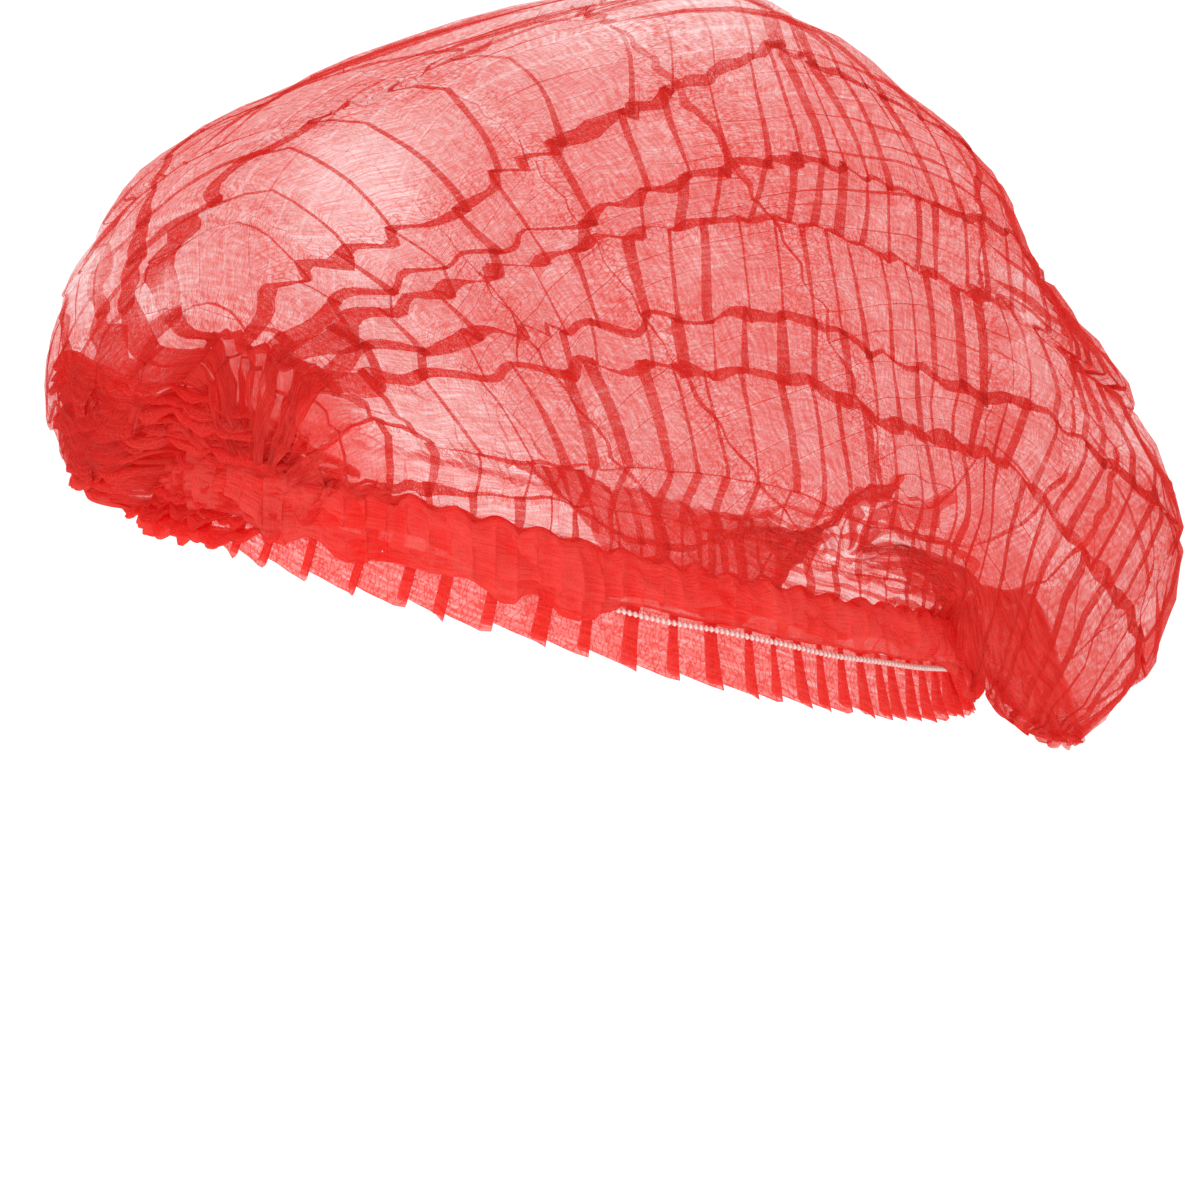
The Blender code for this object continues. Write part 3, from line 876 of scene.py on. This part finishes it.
def gather_leaves(
    middle, spread, leaves, low, high, reach, seed, right_end, left_end, place, thin
):
    """A stack of wavy folded leaves, drawn together at both ends of the gather.

    The leaves lie between two heights above the rim, and meet at a height at each end.
    """
    rng = np.random.default_rng(seed)
    points, faces, flats, thins, painted_shades = [], [], [], [], []
    columns = 150
    shares = np.array([0.0, 0.18, 0.4, 0.62, 0.82, 0.95, 1.0, 0.95, 0.8, 0.55, 0.25])
    rows = len(shares)
    t = np.linspace(-1, 1, columns)
    for leaf in range(leaves):
        level = low + (high - low) * (leaf / (leaves - 1)) ** 1.2
        pinch = (1 - np.abs(t) ** 3.6) ** 0.7
        meet = np.where(t > 0, right_end, left_end)
        height = meet + (level - meet) * pinch
        length = rng.uniform(0.82, 1.08)
        turn = middle + t * spread * length + rng.uniform(-2, 2)
        wide = reach * rng.uniform(0.6, 1.15) * (0.2 + 0.8 * pinch) * (1 - 0.35 * t)
        arc = t * spread * length / RADIAN * LEAF_RADIUS
        ripple = line_noise(arc / (3.6 * MM) + 11 * leaf, leaf, seed + 1)
        ripple += 0.6 * line_noise(arc / (1.9 * MM), 3.7 * leaf, seed + 2)
        sag = rng.uniform(0.35, 1.0)
        for row, share in enumerate(shares):
            under = 0.5 * MM if row > 6 else 0.0
            out = share * wide + 0.9 * MM * ripple * share
            droop = sag * share**2 * wide * 0.55 + ripple * share * 1.5 * MM + under
            points.append(place(turn, height - droop, out - 1.2 * MM - under))
            thins.append(thin * fade(-0.1 - t, 0.8))
            # Painted shade: deep red where each leaf runs in among the others and paler red out at
            # its folded edge.
            painted_shades.append((0.5 * share - 0.05) * np.ones(columns) + 0.15 * ripple)
            flats.append(np.stack([arc + leaf * 0.01, 0 * arc + row * 0.0011 + leaf * 0.013], -1))
        faces.append(grid_faces(rows, columns) + leaf * rows * columns)
    marks = np.stack([np.stack(thins), np.stack(painted_shades)])
    return np.stack(points), np.stack(flats), marks, np.concatenate(faces)


def fan_leaves(leaves, low, high, reach, seed):
    """Small wavy folds that fan out over the crown from its gathered end at the nape."""
    rng = np.random.default_rng(seed)
    shares = np.array([0.0, 0.35, 0.7, 0.94, 1.0, 0.9, 0.6, 0.25])
    columns = 46
    points, flats, faces = [], [], []
    for leaf in range(leaves):
        line = high + (low - high) * (leaf + rng.uniform(-0.35, 0.35)) / (leaves - 1)
        start = rng.uniform(2.5, 6)
        end = rng.uniform(13, 27)
        t = np.linspace(0, 1, columns)
        along = start + (end - start) * t
        swell = np.sin(np.pi * t**0.8) ** 0.7
        arc = t * 0.035
        ripple = line_noise(arc / (3.2 * MM) + 5 * leaf, leaf, seed + 1)
        ripple += 0.5 * line_noise(arc / (1.7 * MM), 2.3 * leaf, seed + 2)
        place = 180 - along
        drift = rng.uniform(-4, 4) * t
        for row, share in enumerate(shares):
            under = 0.4 * MM if row > 4 else 0.0
            lean = share * (5 + 2.5 * ripple) * (0.4 + swell)
            across = np.clip(line + drift + (lean if line > -10 else -lean), -89.5, 89.5)
            surface, normals, _, _ = form_frame(place, across)
            depth = section_shares(sheet_place(place, across)[0])["depth"]
            ease = PLEAT_DEPTH * depth * fade(along - GATHER_SPREAD, GATHER_FADE)
            out = (BASE_SHARE + 0.3) * ease - 0.4 * MM - under
            out = out + share * reach * swell * (1 + 0.3 * ripple)
            points.append(surface + normals * out[:, None])
            flats.append(np.stack([arc + leaf * 0.01, 0 * arc + row * 0.0009 + leaf * 0.013], -1))
        faces.append(grid_faces(len(shares), columns) + leaf * len(shares) * columns)
    return np.stack(points), np.stack(flats), np.concatenate(faces)


def elastic_thread():
    """The covered elastic: a thin loop with a bead at each turn of its covering thread."""
    per_bead = 5
    sides = 9
    columns = ELASTIC_BEADS * per_bead
    angle, around = rim_places(columns)
    phase = 2 * np.pi * np.arange(columns) / per_bead
    radius = 0.50 * MM + 0.20 * MM * np.cos(phase)
    wander = line_noise(np.arange(columns) / 60, 0, 51) * 0.35 * MM
    turns = 2 * np.pi * np.arange(sides) / sides
    out = 2 * GAP + CLOTH_WALL + 1.5 * MM + np.cos(turns)[:, None] * radius
    up_at = np.sin(turns)[:, None] * radius + wander
    points = by_rim(angle, out, up_at)
    points = closed(np.concatenate([points, points[:1]]))
    run = np.arange(columns + 1) / columns * around
    flat = layout(run, np.linspace(0, 0.004, sides + 1))
    beads_at = np.append(np.cos(phase), 1.0) + np.zeros((sides + 1, 1))
    return points, flat, {"painted_shade_and_bead_tone": beads_at}


def new_material(name):
    """An empty material and its tree of nodes."""
    material = bpy.data.materials.new(name)
    material.use_nodes = True
    material.node_tree.nodes.clear()
    return material, material.node_tree


def node(tree, kind, **sockets):
    """A shader node with its named inputs set or linked."""
    made = tree.nodes.new(kind)
    for name, value in sockets.items():
        put(tree, made, name, value)
    return made


def put(tree, made, name, value):
    """Sets one input of a node, or links another node's output to it. i2 names the third."""
    numbered = name[0] == "i" and name[1:].isdigit()
    socket = made.inputs[int(name[1:]) if numbered else name]
    if isinstance(value, bpy.types.NodeSocket):
        tree.links.new(value, socket)
    else:
        socket.default_value = value


def maths(tree, operation, first, second=0.0, clamp=False):
    """One step of arithmetic on two values."""
    made = node(tree, "ShaderNodeMath", i0=first, i1=second)
    made.operation = operation
    made.use_clamp = clamp
    return made.outputs[0]


def noise_streaks(tree, flat, along, across, turn, detail):
    """Streaky noise in the cloth's flat layout, with so many streaks a metre each way."""
    turned = (0, 0, np.radians(turn))
    places = node(tree, "ShaderNodeMapping", Vector=flat, Rotation=turned, Scale=(along, across, 1))
    place = places.outputs[0]
    noise = node(tree, "ShaderNodeTexNoise", Vector=place, Scale=1.0, Detail=detail, Roughness=0.6)
    noise.noise_dimensions = "2D"
    return noise.outputs["Fac"]


def red_mix(tree, factor, deep, pale):
    """A colour between a deep one and a pale one."""
    mix = tree.nodes.new("ShaderNodeMix")
    mix.data_type = "RGBA"
    put(tree, mix, "i0", factor)
    mix.inputs[6].default_value = (*deep, 1)
    mix.inputs[7].default_value = (*pale, 1)
    return mix.outputs[2]


def flat_layout(tree):
    """The cloth's flat layout, in metres."""
    uv = tree.nodes.new("ShaderNodeUVMap")
    uv.uv_map = "flat"
    return uv.outputs[0]


def mark(tree, name):
    """One of the marks on the mesh."""
    attribute = tree.nodes.new("ShaderNodeAttribute")
    attribute.attribute_name = name
    return attribute.outputs["Fac"]


def bumps(tree, height, strength, distance):
    """Normals that follow small heights."""
    bump = node(tree, "ShaderNodeBump", Strength=strength, Distance=distance, Height=height)
    return bump.outputs[0]


def cloth_material(name, opacity, passing, fibre=0.19, through=0.42, dull=1.0):
    """Thin red non-woven: streaky fibres that run front to back and fine wrinkle lines.

    opacity is the share of light that it stops, and passing the colour of light that comes
    through where it is dense. through is the share that glows from behind.
    """
    material, tree = new_material(name)
    plus, minus, times = (partial(maths, tree, kind) for kind in ("ADD", "SUBTRACT", "MULTIPLY"))
    flat = flat_layout(tree)
    fibres = noise_streaks(tree, flat, 190, 1400, 4, 1.0)
    crossing = noise_streaks(tree, flat, 1050, 480, -8, 0.0)
    off = maths(tree, "ABSOLUTE", minus(crossing, 0.5))
    line = minus(1.0, times(off, 9.0), True)
    strength = plus(0.10, times(mark(tree, "bend"), 0.30))
    plain = plus(opacity, mark(tree, "dense"))
    streaks = times(minus(fibres, 0.5), 2.6 * fibre)
    detail = times(plus(streaks, times(line, strength)), times(plain, 1 / opacity, True))
    density = maths(tree, "MAXIMUM", plus(plain, detail), LEAST_DENSITY)
    density = maths(tree, "MINIMUM", density, MOST_DENSITY)

    deep, pale = (tuple(value * dull for value in colour) for colour in (DEEP_RED, PALE_RED))
    # Painted shade: the red deepens with the pieces' shade mark in the hem's hollows and within the
    # gathers' stacks, and pales on their ridges and edges.
    red = red_mix(tree, plus(fibres, mark(tree, "painted_shade_and_bead_tone")), deep, pale)
    body = tree.nodes.new("ShaderNodeBsdfPrincipled")
    put(tree, body, "Base Color", red)
    put(tree, body, "Roughness", plus(0.62, times(fibres, 0.35)))
    put(tree, body, "Normal", bumps(tree, fibres, 0.6, 0.5 * MM))
    body.inputs["Specular IOR Level"].default_value = 0.12
    glow = node(tree, "ShaderNodeBsdfTranslucent", Color=red)
    sheet = node(tree, "ShaderNodeMixShader", i1=body.outputs[0], i2=glow.outputs[0])
    sheet.inputs[0].default_value = through
    tint = red_mix(tree, times(density, 1.6, True), (1, 1, 1), passing)
    clear = node(tree, "ShaderNodeBsdfTransparent", Color=tint)
    whole = node(tree, "ShaderNodeMixShader", i0=density, i1=clear.outputs[0], i2=sheet.outputs[0])
    node(tree, "ShaderNodeOutputMaterial", Surface=whole.outputs[0])
    return material


def thread_material():
    """Pale covered elastic: fine wound thread, paler on the crown of each bead and a little red
    between the beads and in streaks.
    """
    material, tree = new_material("covered_elastic")
    wound = noise_streaks(tree, flat_layout(tree), 2600, 500, 35, 2.0)
    pale = maths(tree, "ADD", wound, maths(tree, "MULTIPLY", mark(tree, "painted_shade_and_bead_tone"), 0.45), True)
    body = tree.nodes.new("ShaderNodeBsdfPrincipled")
    put(tree, body, "Base Color", red_mix(tree, pale, (0.86, 0.30, 0.26), (0.95, 0.84, 0.80)))
    put(tree, body, "Roughness", maths(tree, "ADD", 0.45, maths(tree, "MULTIPLY", wound, 0.3)))
    put(tree, body, "Normal", bumps(tree, wound, 0.5, 0.2 * MM))
    node(tree, "ShaderNodeOutputMaterial", Surface=body.outputs[0])
    return material


def show(item, slot, *nodes):
    """A piece of the cap on its body, with the solids that it stands for hidden. slot is not used.
    """
    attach(item, "root")
    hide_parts(*nodes)
    return item


crown_red = cloth_material("crown_non_woven", 0.29, CROWN_PASSING_RED, dull=0.97)
crown = show(add_piece("crown_cloth", crown_sheet(), crown_red), "cloth", "crown")

frill_red = cloth_material("frill_non_woven", 0.64, PASSING_RED, fibre=0.3)
sheet = frill_sheet()
faces = grid_faces(*sheet[0].shape[:2], round_columns=True)
frill = show(add_piece("frill_cloth", sheet, frill_red, faces), "cloth", "frill")

inner = hem_ruffle(seed=37, low=0.0, over=0.0)
outer = hem_ruffle(seed=137, low=0.36, over=0.9)
marks = {name: np.concatenate([inner[2][name], outer[2][name]]) for name in inner[2]}
sheet = (
    np.concatenate([inner[0], outer[0]]),
    np.concatenate([inner[1], outer[1] + np.array([0.0, 0.03])]),
    marks,
)
rows, columns = inner[0].shape[:2]
faces = grid_faces(rows, columns)
faces = np.concatenate([faces, faces + rows * columns])
hem_red = cloth_material("hem_non_woven", 0.80, PASSING_RED, through=0.45)
hem = show(add_piece("hem_cloth", sheet, hem_red, faces), "cloth", "hem_band")

gather_red = cloth_material("gather_non_woven", 0.66, PASSING_RED, through=0.6)


def gathered_end(name, stands_for, stack, thinner, fan=None):
    """The bunched end of the pleats: a stack of leaves, with small folds fanned out round it."""
    points, flat, (thin, painted_shade_and_bead_tone), faces = stack
    points, flat = points.reshape(-1, 3), flat.reshape(-1, 2)
    thin, painted_shade_and_bead_tone = thin.ravel() + thinner, painted_shade_and_bead_tone.ravel()
    if fan:
        fan_points, fan_flat, fan_faces = fan
        faces = np.concatenate([faces, fan_faces + len(points)])
        points = np.concatenate([points, fan_points.reshape(-1, 3)])
        flat = np.concatenate([flat, fan_flat.reshape(-1, 2)])
        thin = np.concatenate([thin, np.full(len(flat) - len(thin), thinner)])
        painted_shade_and_bead_tone = np.concatenate([painted_shade_and_bead_tone, np.zeros(len(flat) - len(painted_shade_and_bead_tone))])
    noise = smooth_noise(flat[:, 0] / (3 * MM), flat[:, 1] / (3 * MM), 66)
    # The stacked leaves carry their painted shade; the fanned folds have none.
    marks = {"dense": 0.08 * noise - thin, "bend": 0.6 + 0 * noise, "painted_shade_and_bead_tone": painted_shade_and_bead_tone}
    return show(add_piece(name, (points, flat, marks), gather_red, faces), "cloth", stands_for)


front = gathered_end(
    "front_gather_cloth",
    "front_gather",
    gather_leaves(
        middle=-14, spread=39, leaves=17, low=-7.5 * MM, high=26 * MM, reach=4.8 * MM, seed=61,
        right_end=16 * MM, left_end=6 * MM, place=front_place, thin=0.48,
    ),
    thinner=0.0,
)
nape = gathered_end(
    "back_gather_cloth",
    "back_gather",
    gather_leaves(
        middle=190, spread=24, leaves=6, low=4 * MM, high=22 * MM, reach=5.0 * MM, seed=71,
        right_end=12 * MM, left_end=12 * MM, place=nape_place, thin=0.0,
    ),
    thinner=0.36,
    fan=fan_leaves(leaves=10, low=-80, high=84, reach=2.4 * MM, seed=91),
)

thread = add_piece("elastic_thread", elastic_thread(), thread_material(), sharp=180)
show(thread, "elastic", "elastic_loop")

back = Vector(VIEW_BACK)
camera_data = bpy.data.cameras.new("camera")
camera_data.sensor_width = 36.0
camera_data.lens = 163.4
camera = add_object("camera", camera_data)
camera.location = (
    back * CAMERA_DISTANCE + Vector(VIEW_RIGHT) * CAMERA_RIGHT - Vector(VIEW_UP) * CAMERA_BELOW
)
camera.rotation_mode = "QUATERNION"
camera.rotation_quaternion = (-back).to_track_quat("-Z", "Y")
bpy.context.scene.camera = camera

# Pale floor and soft light
floor_mesh = bpy.data.meshes.new("floor")
signs = ((-1, -1), (1, -1), (1, 1), (-1, 1))
floor_corners = [(x * FLOOR_HALF, y * FLOOR_HALF, FLOOR_HEIGHT) for x, y in signs]
floor_mesh.from_pydata(floor_corners, [], [(0, 1, 2, 3)])
floor = add_object("floor", floor_mesh)
floor_material, floor_tree = new_material("pale_floor")
lit = node(floor_tree, "ShaderNodeEmission", Color=(1, 1, 1, 1), Strength=1.15)
node(floor_tree, "ShaderNodeOutputMaterial", Surface=lit.outputs[0])
floor_mesh.materials.append(floor_material)

world = bpy.data.worlds.new("studio")
bpy.context.scene.world = world
world.use_nodes = True
sky = world.node_tree.nodes["Background"]
sky.inputs["Color"].default_value = (1, 1, 1, 1)
sky.inputs["Strength"].default_value = 0.56


def soft_light(name, place, size, energy):
    """A large square light that faces the cap."""
    data = bpy.data.lights.new(name, "AREA")
    data.shape = "SQUARE"
    data.size = size
    data.energy = energy
    item = add_object(name, data)
    item.location = place
    item.rotation_mode = "QUATERNION"
    item.rotation_quaternion = Vector(place).to_track_quat("Z", "Y")


soft_light("key_light", (1.1, -1.5, 1.7), 1.0, 11)
soft_light("top_light", (-0.4, 0.5, 2.2), 1.2, 8)
soft_light("front_light", (0.5, -1.9, 0.15), 1.0, 8)

view = bpy.context.scene.view_settings
view.view_transform = "Standard"
cycles = bpy.context.scene.cycles
cycles.transparent_max_bounces = 10
cycles.max_bounces = 6
cycles.diffuse_bounces = 3
cycles.transmission_bounces = 6
cycles.glossy_bounces = 1
